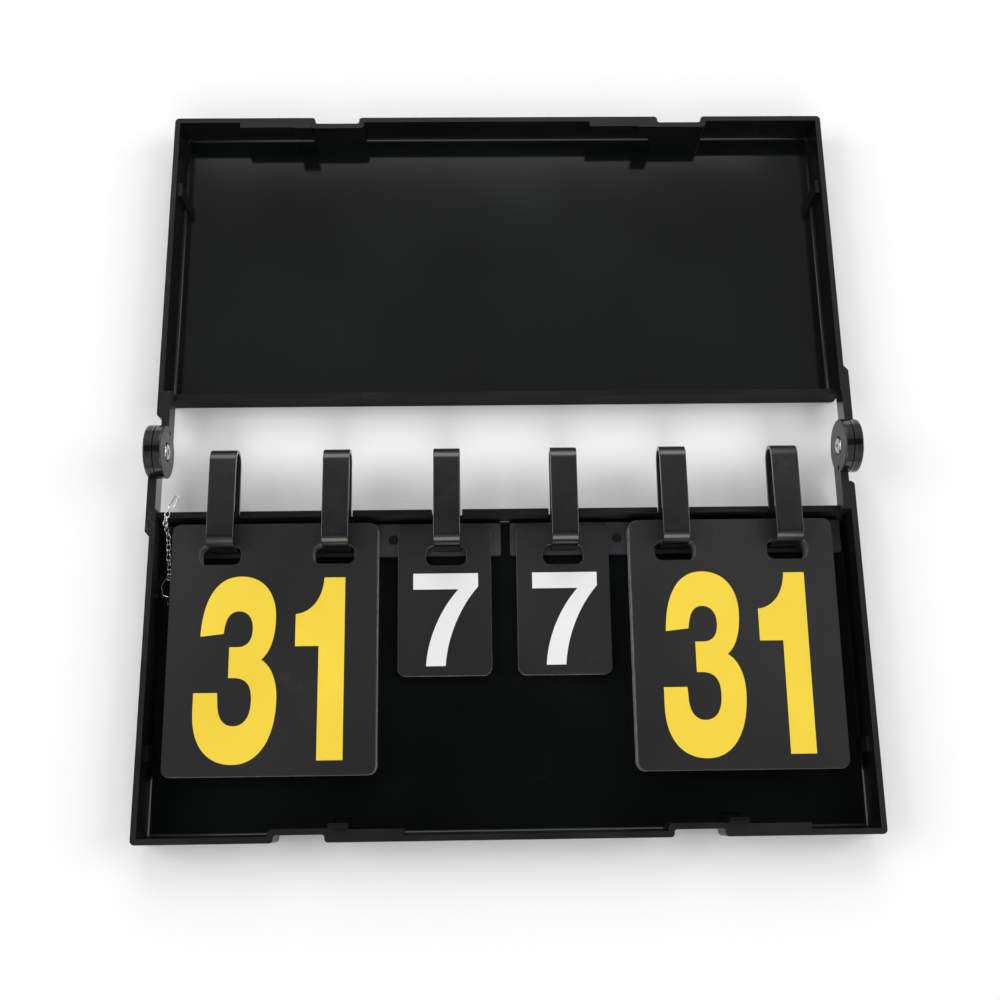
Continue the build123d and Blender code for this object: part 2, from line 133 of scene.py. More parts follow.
def softened(node: str, name: str, width: float, segments: int = 2) -> bpy.types.Object:
    """Copies a CAD node with its edges rounded over.

    Args:
        node: the CAD node.
        name: the new piece's name.
        width: the rounding's width in millimetres.
        segments: facets across the rounding.

    Returns:
        The new piece.
    """
    mesh = frame["nodes"][node].data.copy()
    mesh.materials.clear()
    work = bmesh.new()
    work.from_mesh(mesh)
    bmesh.ops.remove_doubles(work, verts=work.verts, dist=JOIN_DISTANCE)
    bmesh.ops.dissolve_limit(
        work, angle_limit=FLAT_ANGLE, verts=work.verts, edges=work.edges, use_dissolve_boundaries=False
    )
    work.to_mesh(mesh)
    work.free()
    smooth_between(mesh)
    piece = add_object(name, mesh)
    bevel = piece.modifiers.new("soft edges", "BEVEL")
    bevel.width = width * MM
    bevel.segments = segments
    bevel.limit_method = "ANGLE"
    bevel.angle_limit = SHARP_ANGLE
    bevel.use_clamp_overlap = True
    even = piece.modifiers.new("even shading", "WEIGHTED_NORMAL")
    even.weight = 100
    even.keep_sharp = True
    return flattened(piece)


def finish_piece(
    piece: bpy.types.Object, body: str, materials: list[bpy.types.Material], slot: str, *nodes: str
) -> bpy.types.Object:
    """Dresses a piece and ties it to its body.

    Args:
        piece: the finished object.
        body: the body it moves with.
        materials: its materials, in slot order.
        slot: the record's material slot; not used.
        nodes: CAD nodes that it stands for.

    Returns:
        The same piece.
    """
    if not piece.data.materials:
        for material in materials:
            piece.data.materials.append(material)
    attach(piece, body)
    if nodes:
        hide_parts(*nodes)
    LOG.info("%s rides on %s with %d faces", piece.name, body, len(piece.data.polygons))
    return piece


# ---- Node tools ----------------------------------------------------------------------------------
def math_node(
    tree: bpy.types.NodeTree, operation: str, first: bpy.types.NodeSocket,
    second: bpy.types.NodeSocket | float | None = None,
) -> bpy.types.NodeSocket:
    """Places a Math node in a tree.

    Args:
        tree: the tree.
        operation: what the node does.
        first: the socket that feeds it.
        second: the other socket or number, if it takes one.

    Returns:
        The node's output.
    """
    node = tree.nodes.new("ShaderNodeMath")
    node.operation = operation
    tree.links.new(first, node.inputs[0])
    if isinstance(second, bpy.types.NodeSocket):
        tree.links.new(second, node.inputs[1])
    elif second is not None:
        node.inputs[1].default_value = second
    return node.outputs[0]


# ---- Geometry node trees -------------------------------------------------------------------------
class Maker:
    """Builds the Geometry Nodes trees that repeat a shape, and applies them."""

    trim_start = 4
    trim_end = 5
    longest_route = 10.0

    @staticmethod
    def tree(name: str, inputs: list[tuple[str, str]]) -> bpy.types.GeometryNodeTree:
        """Starts a tree with a geometry input and output.

        Args:
            name: the tree's name.
            inputs: (name, socket type) of each further input.

        Returns:
            The tree.
        """
        tree = bpy.data.node_groups.new(name, "GeometryNodeTree")
        tree.interface.new_socket("Geometry", in_out="INPUT", socket_type="NodeSocketGeometry")
        tree.interface.new_socket("Geometry", in_out="OUTPUT", socket_type="NodeSocketGeometry")
        for label, kind in inputs:
            tree.interface.new_socket(label, in_out="INPUT", socket_type=kind)
        return tree

    @staticmethod
    def applied(
        piece: bpy.types.Object, tree: bpy.types.GeometryNodeTree, values: dict[str, object]
    ) -> bpy.types.Object:
        """Runs a tree on a piece and keeps the plain mesh that it gives.

        Args:
            piece: the piece whose mesh the tree repeats.
            tree: the tree.
            values: the tree's inputs by name.

        Returns:
            The piece with its finished mesh.
        """
        modifier = piece.modifiers.new(tree.name, "NODES")
        modifier.node_group = tree
        for item in tree.interface.items_tree:
            if item.item_type == "SOCKET" and item.in_out == "INPUT" and item.name in values:
                modifier[item.identifier] = values[item.name]
        return flattened(piece)

    @classmethod
    def stacked_cards(cls) -> bpy.types.GeometryNodeTree:
        """Copies one card down a pile, each a little out of line, its cut edges in their own finish.

        Returns:
            The tree.
        """
        tree = cls.tree("stacked_cards", [
            ("Count", "NodeSocketInt"), ("First", "NodeSocketVector"), ("Step", "NodeSocketVector"),
            ("Least slip", "NodeSocketVector"), ("Most slip", "NodeSocketVector"), ("Seed", "NodeSocketInt"),
            ("Up", "NodeSocketVector"), ("Face finish", "NodeSocketMaterial"),
            ("Edge finish", "NodeSocketMaterial"),
        ])
        nodes, links = tree.nodes, tree.links
        given = nodes.new("NodeGroupInput").outputs
        line = nodes.new("GeometryNodeMeshLine")
        line.mode = "OFFSET"
        links.new(given["Count"], line.inputs["Count"])
        links.new(given["First"], line.inputs["Start Location"])
        links.new(given["Step"], line.inputs["Offset"])
        slip = nodes.new("FunctionNodeRandomValue")
        slip.data_type = "FLOAT_VECTOR"
        links.new(given["Least slip"], slip.inputs["Min"])
        links.new(given["Most slip"], slip.inputs["Max"])
        links.new(given["Seed"], slip.inputs["Seed"])
        moved = nodes.new("GeometryNodeSetPosition")
        links.new(line.outputs["Mesh"], moved.inputs["Geometry"])
        links.new(slip.outputs["Value"], moved.inputs["Offset"])
        copies = nodes.new("GeometryNodeInstanceOnPoints")
        links.new(moved.outputs["Geometry"], copies.inputs["Points"])
        links.new(given["Geometry"], copies.inputs["Instance"])
        real = nodes.new("GeometryNodeRealizeInstances")
        links.new(copies.outputs["Instances"], real.inputs["Geometry"])
        faces = nodes.new("GeometryNodeSetMaterial")
        links.new(real.outputs["Geometry"], faces.inputs["Geometry"])
        links.new(given["Face finish"], faces.inputs["Material"])
        normal = nodes.new("GeometryNodeInputNormal")
        lean = nodes.new("ShaderNodeVectorMath")
        lean.operation = "DOT_PRODUCT"
        links.new(normal.outputs["Normal"], lean.inputs[0])
        links.new(given["Up"], lean.inputs[1])
        cut = math_node(tree, "LESS_THAN", math_node(tree, "ABSOLUTE", lean.outputs["Value"]), CUT_EDGE_LEAN)
        edges = nodes.new("GeometryNodeSetMaterial")
        links.new(faces.outputs["Geometry"], edges.inputs["Geometry"])
        links.new(cut, edges.inputs["Selection"])
        links.new(given["Edge finish"], edges.inputs["Material"])
        links.new(edges.outputs["Geometry"], nodes.new("NodeGroupOutput").inputs["Geometry"])
        return tree

    @classmethod
    def chain_run(cls) -> bpy.types.GeometryNodeTree:
        """Sets one link along a path, every second one turned to hook through its neighbours.

        Returns:
            The tree.
        """
        tree = cls.tree("chain_run", [
            ("Path", "NodeSocketObject"), ("Pitch", "NodeSocketFloat"), ("Turn", "NodeSocketFloat"),
            ("Finish", "NodeSocketMaterial"),
        ])
        nodes, links = tree.nodes, tree.links
        given = nodes.new("NodeGroupInput").outputs
        path = nodes.new("GeometryNodeObjectInfo")
        links.new(given["Path"], path.inputs["Object"])
        trim = nodes.new("GeometryNodeTrimCurve")
        trim.mode = "LENGTH"
        links.new(path.outputs["Geometry"], trim.inputs["Curve"])
        links.new(math_node(tree, "MULTIPLY", given["Pitch"], 0.5), trim.inputs[cls.trim_start])
        trim.inputs[cls.trim_end].default_value = cls.longest_route
        stops = nodes.new("GeometryNodeCurveToPoints")
        stops.mode = "LENGTH"
        links.new(trim.outputs["Curve"], stops.inputs["Curve"])
        links.new(given["Pitch"], stops.inputs["Length"])
        along = nodes.new("FunctionNodeAlignRotationToVector")
        along.axis = "X"
        links.new(stops.outputs["Tangent"], along.inputs["Vector"])
        upright = nodes.new("FunctionNodeAlignRotationToVector")
        upright.axis = "Z"
        upright.pivot_axis = "X"
        upright.inputs["Vector"].default_value = (0.0, 0.0, 1.0)
        links.new(along.outputs["Rotation"], upright.inputs["Rotation"])
        index = nodes.new("GeometryNodeInputIndex")
        sign = nodes.new("ShaderNodeMapRange")
        links.new(math_node(tree, "MODULO", index.outputs["Index"], 2.0), sign.inputs["Value"])
        links.new(given["Turn"], sign.inputs["To Max"])
        links.new(math_node(tree, "MULTIPLY", given["Turn"], -1.0), sign.inputs["To Min"])
        euler = nodes.new("ShaderNodeCombineXYZ")
        links.new(sign.outputs["Result"], euler.inputs["X"])
        turned = nodes.new("FunctionNodeRotateRotation")
        turned.rotation_space = "LOCAL"
        links.new(upright.outputs["Rotation"], turned.inputs["Rotation"])
        links.new(euler.outputs["Vector"], turned.inputs["Rotate By"])
        copies = nodes.new("GeometryNodeInstanceOnPoints")
        links.new(stops.outputs["Points"], copies.inputs["Points"])
        links.new(given["Geometry"], copies.inputs["Instance"])
        links.new(turned.outputs["Rotation"], copies.inputs["Rotation"])
        real = nodes.new("GeometryNodeRealizeInstances")
        links.new(copies.outputs["Instances"], real.inputs["Geometry"])
        metal = nodes.new("GeometryNodeSetMaterial")
        links.new(real.outputs["Geometry"], metal.inputs["Geometry"])
        links.new(given["Finish"], metal.inputs["Material"])
        links.new(metal.outputs["Geometry"], nodes.new("NodeGroupOutput").inputs["Geometry"])
        return tree


# ---- Shared shader effects -----------------------------------------------------------------------
class Effect:
    """Builds each shared shader node group once."""

    made: dict[str, bpy.types.ShaderNodeTree] = {}
    bends_per_metre = 35.0
    bend_reach = 0.03
    patches_per_metre = 22.0
    patch_edge = (0.56, 0.70)
    speck_rarity = 0.86

    @classmethod
    def group(
        cls, name: str, inputs: list[tuple[str, str, float]], outputs: list[str]
    ) -> tuple[bpy.types.ShaderNodeTree, bool]:
        """Starts a node group or fetches it.

        Args:
            name: the group's name.
            inputs: (name, socket type, default) of each input.
            outputs: the names of its float outputs.

        Returns:
            (the group, whether it is new).
        """
        if name in cls.made:
            return cls.made[name], False
        tree = bpy.data.node_groups.new(name, "ShaderNodeTree")
        for label, kind, default in inputs:
            socket = tree.interface.new_socket(label, in_out="INPUT", socket_type=kind)
            if kind == "NodeSocketFloat":
                socket.default_value = default
        for label in outputs:
            tree.interface.new_socket(label, in_out="OUTPUT", socket_type="NodeSocketFloat")
        cls.made[name] = tree
        return tree, True

    @classmethod
    def grain(cls) -> bpy.types.ShaderNodeTree:
        """Moulded grain: fine height, and a slow drift of tone.

        Returns:
            The group.
        """
        tree, new = cls.group(
            "moulded_grain",
            [("Vector", "NodeSocketVector", 0.0), ("Grain per metre", "NodeSocketFloat", 1800.0),
             ("Drift per metre", "NodeSocketFloat", 14.0)],
            ["Height", "Drift"],
        )
        if not new:
            return tree
        nodes, links = tree.nodes, tree.links
        source = nodes.new("NodeGroupInput")
        sink = nodes.new("NodeGroupOutput")
        fine = nodes.new("ShaderNodeTexNoise")
        fine.inputs["Detail"].default_value = 3.0
        fine.inputs["Roughness"].default_value = 0.6
        slow = nodes.new("ShaderNodeTexNoise")
        slow.inputs["Detail"].default_value = 2.0
        links.new(source.outputs["Vector"], fine.inputs["Vector"])
        links.new(source.outputs["Grain per metre"], fine.inputs["Scale"])
        links.new(source.outputs["Vector"], slow.inputs["Vector"])
        links.new(source.outputs["Drift per metre"], slow.inputs["Scale"])
        links.new(fine.outputs["Fac"], sink.inputs["Height"])
        links.new(slow.outputs["Fac"], sink.inputs["Drift"])
        return tree

    @classmethod
    def scuffs(cls) -> bpy.types.ShaderNodeTree:
        """Handling marks: thin wandering scratches broken up by patches.

        Returns:
            The group.
        """
        tree, new = cls.group(
            "handling_scuffs",
            [("Vector", "NodeSocketVector", 0.0), ("Marks per metre", "NodeSocketFloat", 60.0),
             ("Thinness", "NodeSocketFloat", 0.02)],
            ["Mask"],
        )
        if not new:
            return tree
        nodes, links = tree.nodes, tree.links
        source = nodes.new("NodeGroupInput")
        sink = nodes.new("NodeGroupOutput")
        bend = nodes.new("ShaderNodeTexNoise")
        bend.inputs["Scale"].default_value = cls.bends_per_metre
        links.new(source.outputs["Vector"], bend.inputs["Vector"])
        warp = nodes.new("ShaderNodeVectorMath")
        warp.operation = "MULTIPLY_ADD"
        warp.inputs[1].default_value = [cls.bend_reach] * 3
        links.new(bend.outputs["Color"], warp.inputs[0])
        links.new(source.outputs["Vector"], warp.inputs[2])
        cells = nodes.new("ShaderNodeTexVoronoi")
        cells.feature = "DISTANCE_TO_EDGE"
        links.new(warp.outputs["Vector"], cells.inputs["Vector"])
        links.new(source.outputs["Marks per metre"], cells.inputs["Scale"])
        thin = math_node(tree, "LESS_THAN", cells.outputs["Distance"], source.outputs["Thinness"])
        patch = nodes.new("ShaderNodeTexNoise")
        patch.inputs["Scale"].default_value = cls.patches_per_metre
        patch.inputs["Detail"].default_value = 4.0
        links.new(source.outputs["Vector"], patch.inputs["Vector"])
        ramp = nodes.new("ShaderNodeMapRange")
        ramp.inputs["From Min"].default_value, ramp.inputs["From Max"].default_value = cls.patch_edge
        links.new(patch.outputs["Fac"], ramp.inputs["Value"])
        links.new(math_node(tree, "MULTIPLY", thin, ramp.outputs["Result"]), sink.inputs["Mask"])
        return tree

    @classmethod
    def dust(cls) -> bpy.types.ShaderNodeTree:
        """Sparse pale specks of dust.

        Returns:
            The group.
        """
        tree, new = cls.group(
            "settled_dust",
            [("Vector", "NodeSocketVector", 0.0), ("Specks per metre", "NodeSocketFloat", 420.0),
             ("Size", "NodeSocketFloat", 0.10)],
            ["Mask"],
        )
        if not new:
            return tree
        nodes, links = tree.nodes, tree.links
        source = nodes.new("NodeGroupInput")
        sink = nodes.new("NodeGroupOutput")
        cells = nodes.new("ShaderNodeTexVoronoi")
        links.new(source.outputs["Vector"], cells.inputs["Vector"])
        links.new(source.outputs["Specks per metre"], cells.inputs["Scale"])
        small = math_node(tree, "LESS_THAN", cells.outputs["Distance"], source.outputs["Size"])
        some = nodes.new("ShaderNodeSeparateColor")
        links.new(cells.outputs["Color"], some.inputs["Color"])
        rare = math_node(tree, "GREATER_THAN", some.outputs["Red"], cls.speck_rarity)
        links.new(math_node(tree, "MULTIPLY", small, rare), sink.inputs["Mask"])
        return tree


NOISE_REACH = (0.3, 0.7)
LEAST_ROUGHNESS = 0.03


@dataclass(frozen=True)
class Finish:
    """One finish of the board's surfaces.

    Colours are linear. Grain height and scuffs are in millimetres and shares.
    """

    name: str
    colour: tuple[float, float, float]
    roughness: float
    metallic: float = 0.0
    specular: float = 0.5
    coat: float = 0.0
    coat_roughness: float = 0.1
    grain_height: float = 0.01
    grain_per_metre: float = 1800.0
    drift: float = 0.12
    drift_per_metre: float = 14.0
    roughness_swing: float = 0.06
    scuff_lift: float = 0.02
    scuffs_per_metre: float = 60.0
    dust_lift: float = 0.02

    def material(self) -> bpy.types.Material:
        """Builds the finish's material, or fetches it.

        Returns:
            The material.
        """
        known = bpy.data.materials.get(self.name)
        if known is not None:
            return known
        material = bpy.data.materials.new(self.name)
        material.use_nodes = True
        nodes, links = material.node_tree.nodes, material.node_tree.links
        shader = nodes["Principled BSDF"]
        shader.inputs["Metallic"].default_value = self.metallic
        shader.inputs["Specular IOR Level"].default_value = self.specular
        shader.inputs["Coat Weight"].default_value = self.coat
        shader.inputs["Coat Roughness"].default_value = self.coat_roughness
        place = nodes.new("ShaderNodeTexCoord")

        grain = self._effect(nodes, links, place, Effect.grain())
        grain.inputs["Grain per metre"].default_value = self.grain_per_metre
        grain.inputs["Drift per metre"].default_value = self.drift_per_metre
        scuffs = self._effect(nodes, links, place, Effect.scuffs())
        scuffs.inputs["Marks per metre"].default_value = self.scuffs_per_metre
        dust = self._effect(nodes, links, place, Effect.dust())

        tone = self._range(nodes, links, grain.outputs["Drift"], 1 - self.drift, 1 + self.drift)
        scaled = nodes.new("ShaderNodeVectorMath")
        scaled.operation = "SCALE"
        scaled.inputs[0].default_value = self.colour
        links.new(tone.outputs["Result"], scaled.inputs["Scale"])
        marked = self._lift(nodes, links, scaled.outputs["Vector"], scuffs.outputs["Mask"], self.scuff_lift)
        dusty = self._lift(nodes, links, marked.outputs["Vector"], dust.outputs["Mask"], self.dust_lift)
        links.new(dusty.outputs["Vector"], shader.inputs["Base Color"])

        rough = self._range(
            nodes, links, grain.outputs["Drift"],
            max(self.roughness - self.roughness_swing, LEAST_ROUGHNESS), self.roughness + self.roughness_swing,
        )
        links.new(rough.outputs["Result"], shader.inputs["Roughness"])
        bump = nodes.new("ShaderNodeBump")
        bump.inputs["Distance"].default_value = self.grain_height * MM
        links.new(grain.outputs["Height"], bump.inputs["Height"])
        links.new(bump.outputs["Normal"], shader.inputs["Normal"])
        return material

    @staticmethod
    def _effect(
        nodes: bpy.types.Nodes, links: bpy.types.NodeLinks, place: bpy.types.Node,
        tree: bpy.types.ShaderNodeTree,
    ) -> bpy.types.Node:
        """Places a shared effect and feeds it Object coordinates.

        Args:
            nodes: the material's nodes.
            links: the material's links.
            place: the material's Texture Coordinate node.
            tree: the effect's group.

        Returns:
            The effect's node.
        """
        node = nodes.new("ShaderNodeGroup")
        node.node_tree = tree
        links.new(place.outputs["Object"], node.inputs["Vector"])
        return node

    @staticmethod
    def _range(
        nodes: bpy.types.Nodes, links: bpy.types.NodeLinks, source: bpy.types.NodeSocket,
        low: float, high: float,
    ) -> bpy.types.Node:
        """Spreads a noise value's middle stretch between two numbers.

        Args:
            nodes: the material's nodes.
            links: the material's links.
            source: the noise.
            low: what its lower reach becomes.
            high: what its upper reach becomes.

        Returns:
            The Map Range node.
        """
        node = nodes.new("ShaderNodeMapRange")
        node.inputs["From Min"].default_value, node.inputs["From Max"].default_value = NOISE_REACH
        node.inputs["To Min"].default_value = low
        node.inputs["To Max"].default_value = high
        links.new(source, node.inputs["Value"])
        return node

    @staticmethod
    def _lift(
        nodes: bpy.types.Nodes, links: bpy.types.NodeLinks, colour: bpy.types.NodeSocket,
        mask: bpy.types.NodeSocket, amount: float,
    ) -> bpy.types.Node:
        """Adds a grey amount to a colour where a mask is on.

        Args:
            nodes: the material's nodes.
            links: the material's links.
            colour: the colour.
            mask: the mask.
            amount: the grey.

        Returns:
            The node with the lifted colour.
        """
        grey = nodes.new("ShaderNodeVectorMath")
        grey.operation = "SCALE"
        grey.inputs[0].default_value = (amount, amount, amount)
        links.new(mask, grey.inputs["Scale"])
        total = nodes.new("ShaderNodeVectorMath")
        total.operation = "ADD"
        links.new(colour, total.inputs[0])
        links.new(grey.outputs["Vector"], total.inputs[1])
        return total


TRAY_WALLS = Finish(
    "tray_walls", (0.0050, 0.0052, 0.0054), 0.34, specular=0.24, grain_height=0.004, drift=0.18,
    drift_per_metre=22.0, roughness_swing=0.08, scuff_lift=0.008, scuffs_per_metre=90.0,
)
TRAY_FLOOR = Finish(
    "tray_floor", (0.0040, 0.0047, 0.0047), 0.12, specular=0.29, grain_height=0.0012, grain_per_metre=420.0,
    drift=0.35, drift_per_metre=9.0, roughness_swing=0.03, scuff_lift=0.0015, dust_lift=0.006,
)
RUBBED_LIP = Finish(
    "rubbed_lip", (0.0048, 0.0048, 0.0050), 0.46, specular=0.28, grain_height=0.008, grain_per_metre=1400.0,
    drift=0.25, drift_per_metre=40.0, scuff_lift=0.035, scuffs_per_metre=170.0,
)
EYE_FACE = Finish(
    "eye_face", (0.026, 0.026, 0.0265), 0.36, grain_height=0.008, grain_per_metre=1600.0, drift=0.35,
    drift_per_metre=120.0, scuff_lift=0.09, scuffs_per_metre=240.0,
)
EYE_RIM = Finish(
    "eye_rim", (0.0050, 0.0050, 0.0052), 0.15, coat=0.6, coat_roughness=0.08, grain_height=0.002, drift=0.2,
    drift_per_metre=90.0, scuff_lift=0.012, scuffs_per_metre=160.0,
)
# Painted light: the inside of the hinge wall is the same dark plastic as the other walls, given a paler colour
# that stands in for light falling on it.
HINGE_WALL_INSIDE_PAINTED_LIGHT = Finish(
    "hinge_wall_inside", (0.026, 0.026, 0.0265), 0.42, grain_height=0.004, drift=0.2, drift_per_metre=30.0,
    scuff_lift=0.02, scuffs_per_metre=120.0,
)
# Painted shade: a slightly darker copy of the wall plastic with its reflection almost turned off, so the
# outside of the hinge wall renders dark.
HINGE_WALL_OUTSIDE_PAINTED_SHADE = Finish(
    "hinge_wall_outside", (0.0045, 0.0045, 0.0047), 0.55, specular=0.06, grain_height=0.004, drift=0.2,
    scuff_lift=0.006, dust_lift=0.004,
)
RING_NYLON = Finish(
    "ring_nylon", (0.0115, 0.0115, 0.0118), 0.22, coat=0.45, coat_roughness=0.06, grain_height=0.0015,
    grain_per_metre=700.0, drift=0.10, drift_per_metre=70.0, roughness_swing=0.04, scuff_lift=0.012,
    scuffs_per_metre=260.0,
)
RING_PAD = Finish(
    "ring_pad", (0.006, 0.006, 0.0061), 0.40, grain_height=0.006, drift=0.2, drift_per_metre=300.0,
)
BAR_PLASTIC = Finish(
    "bar_plastic", (0.0075, 0.0075, 0.0078), 0.42, specular=0.42, grain_height=0.006, drift=0.15,
    drift_per_metre=30.0,
)
CARD_FACE = Finish(
    "card_face", (0.0142, 0.0142, 0.0145), 0.42, specular=0.36, grain_height=0.002, grain_per_metre=1300.0,
    drift=0.07, drift_per_metre=11.0, scuff_lift=0.007, scuffs_per_metre=70.0, dust_lift=0.03,
)
CARD_EDGE = Finish(
    "card_edge", (0.20, 0.20, 0.20), 0.50, grain_height=0.004, drift=0.45, drift_per_metre=420.0,
)
YELLOW_INK = Finish(
    "yellow_ink", (0.86, 0.625, 0.048), 0.48, specular=0.3, grain_height=0.002, grain_per_metre=2500.0,
    drift=0.035, drift_per_metre=25.0, scuff_lift=0.0, dust_lift=0.0,
)
WHITE_INK = Finish(
    "white_ink", (0.79, 0.79, 0.80), 0.48, specular=0.3, grain_height=0.002, grain_per_metre=2500.0,
    drift=0.025, drift_per_metre=25.0, scuff_lift=0.0, dust_lift=0.0,
)
ZINC = Finish(
    "zinc_plate", (0.62, 0.62, 0.60), 0.24, metallic=1.0, grain_height=0.006, grain_per_metre=2600.0,
    drift=0.12, drift_per_metre=300.0, scuff_lift=0.1, scuffs_per_metre=500.0, dust_lift=0.0,
)
NICKEL_WIRE = Finish(
    "nickel_wire", (0.72, 0.71, 0.69), 0.22, metallic=1.0, grain_height=0.003, grain_per_metre=3000.0,
    drift=0.15, drift_per_metre=250.0, scuff_lift=0.08, dust_lift=0.0,
)
DARK_ZINC = Finish("dark_zinc", (0.030, 0.030, 0.031), 0.38, metallic=1.0, grain_height=0.006, drift=0.15)
FIBRE = Finish("fibre_washer", (0.008, 0.008, 0.008), 0.7, grain_height=0.02, grain_per_metre=1500.0)


# ---- Trays ---------------------------------------------------------------------------------------
def hinge_height() -> float:
    """The height of the hinge line, which is also the trays' lip plane, in metres."""
    return next(joint for joint in frame["joints"] if joint["name"] == "case_fold")["pos_m"][2]


@dataclass
class Tray:
    """One moulded half of the case. Sizes are in millimetres."""

    node: str
    body: str
    edge_round: float = 0.38
    floor_thickness: float = 2.2
    floor_fillet: float = 2.4
    lip_band: float = 0.45
    eye_reach: float = 34.0
    eye_band: float = 0.8
    inner_eye: float = 4.3
    rim_reach: float = 15.2
    wall_start: float = 30.5
    wall_end: float = 37.5
    sloped: float = 0.3
    level: float = 0.5

    def build(self) -> bpy.types.Object:
        """Makes the tray with its walls, floor, lips, eyes and hinge wall in their own finishes.

        Returns:
            The tray.
        """
        piece = softened(self.node, f"{self.node}_moulding", self.edge_round)
        finishes = [
            TRAY_WALLS, TRAY_FLOOR, RUBBED_LIP, EYE_FACE, EYE_RIM, HINGE_WALL_INSIDE_PAINTED_LIGHT, HINGE_WALL_OUTSIDE_PAINTED_SHADE,
        ]
        for finish in finishes:
            piece.data.materials.append(finish.material())
        for face in piece.data.polygons:
            face.material_index = finishes.index(self._finish_of(face))
        return finish_piece(piece, self.body, [], "case_plastic", self.node)

    def _finish_of(self, face: bpy.types.MeshPolygon) -> Finish:
        """Chooses a face's finish from where it lies and which way it looks.

        Args:
            face: the face.

        Returns:
            The finish.
        """
        centre, normal = face.center, face.normal
        if normal.z > self.sloped and centre.z < (self.floor_thickness + self.floor_fillet) * MM:
            return TRAY_FLOOR
        lip_level = hinge_height()
        if normal.z > self.level and abs(centre.z - lip_level) < self.lip_band * MM:
            return RUBBED_LIP
        eye_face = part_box("hinge_washer_right")[0].x - self.inner_eye * MM
        inward = centre.x * normal.x < -self.level * abs(centre.x)
        on_eye = abs(abs(centre.x) - eye_face) < self.eye_band * MM
        if inward and on_eye and abs(centre.y) < self.eye_reach * MM:
            return EYE_FACE
        from_axis = math.hypot(centre.y, centre.z - lip_level)
        if from_axis < self.rim_reach * MM and abs(centre.x) > eye_face - self.eye_band * MM:
            return EYE_RIM
        # The inside of the hinge wall gets a paler colour as painted light.
        if self.wall_start * MM < abs(centre.y) < self.wall_end * MM and abs(normal.y) > self.level:
            # Its outside gets the darker, barely reflective copy as painted shade.
            return HINGE_WALL_INSIDE_PAINTED_LIGHT if centre.y * normal.y > 0 else HINGE_WALL_OUTSIDE_PAINTED_SHADE
        return TRAY_WALLS


# ---- Hinge hardware ------------------------------------------------------------------------------
@dataclass
class Hinge:
    """The screw, washer and nut on one side. Sizes are in millimetres."""

    side: Side
    body: str
    screw_round: float = 0.12
    nut_round: float = 0.22
    washer_round: float = 0.08

    def build(self) -> list[bpy.types.Object]:
        """Makes the three pieces of hardware.

        Returns:
            The screw, the nut and the washer.
        """
        side = self.side.value
        screw = softened(f"hinge_screw_{side}", f"pivot_screw_{side}", self.screw_round)
        nut = softened(f"hinge_nut_{side}", f"lock_nut_{side}", self.nut_round)
        washer = softened(f"hinge_washer_{side}", f"friction_washer_{side}", self.washer_round, 1)
        return [
            finish_piece(screw, self.body, [ZINC.material()], "screw_steel", f"hinge_screw_{side}"),
            finish_piece(nut, self.body, [ZINC.material()], "screw_steel", f"hinge_nut_{side}"),
            finish_piece(washer, self.body, [FIBRE.material()], "washer_plastic", f"hinge_washer_{side}"),
        ]


# ---- Rings and bars ------------------------------------------------------------------------------
@dataclass
class CardRing:
    """A closed flat strap that the cards hang on, with softly rounded edges. Sizes are in millimetres."""

    node: str
    body: str = "card_case"
    edge_round: float = 0.5
    pad_size: tuple[float, float] = (9.6, 8.6)
    pad_start: float = 7.4
    pad_stand: float = 0.03
    pad_corner: float = 0.4

    def build(self) -> list[bpy.types.Object]:
        """Makes the ring, and the moulding pad on the last one.

        Returns:
            The ring, and its pad if it has one.
        """
        piece = softened(self.node, f"{self.node}_strap", self.edge_round, 3)
        made = [finish_piece(piece, self.body, [RING_NYLON.material()], "ring_plastic", self.node)]
        if self.node == "right_outer_ring":
            made.append(self._pad())
        return made

    def _pad(self) -> bpy.types.Object:
        """Makes the small dull pad on the strap's front run.

        Returns:
            The pad.
        """
        low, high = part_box(self.node)
        across, along = self.pad_size
        half, corner = across / 2, self.pad_corner
        corners = [(-half, corner), (-half + corner, 0), (half - corner, 0), (half, corner)]
        corners += [(x, along - y) for x, y in reversed(corners)]
        place = Matrix.Translation((
            (low.x + high.x) / 2, -(self.pad_start + along) * MM, high.z - self.pad_stand * MM,
        ))
        mesh = raised_outlines(f"{self.node}_pad", [corners], MM, place, 2 * self.pad_stand * MM)
        piece = add_object(f"{self.node}_pad", mesh)
        return finish_piece(piece, self.body, [RING_PAD.material()], "ring_plastic")


@dataclass
class RingBar:
    """The bar that clamps three rings, and its screws. Sizes are in millimetres."""

    side: Side
    body: str = "card_case"
    edge_round: float = 0.3
    screw_round: float = 0.1

    def build(self) -> list[bpy.types.Object]:
        """Makes the bar and its screws.

        Returns:
            The bar and the screws.
        """
        side = self.side.value
        bar = softened(f"ring_bar_{side}", f"clamp_bar_{side}", self.edge_round)
        screws = softened(f"bar_screws_{side}", f"bar_screw_set_{side}", self.screw_round)
        return [
            finish_piece(bar, self.body, [BAR_PLASTIC.material()], "bar_plastic", f"ring_bar_{side}"),
            finish_piece(screws, self.body, [DARK_ZINC.material()], "bar_screw_steel", f"bar_screws_{side}"),
        ]


# ---- Numerals ------------------------------------------------------------------------------------
Outline = list[tuple[float, float]]


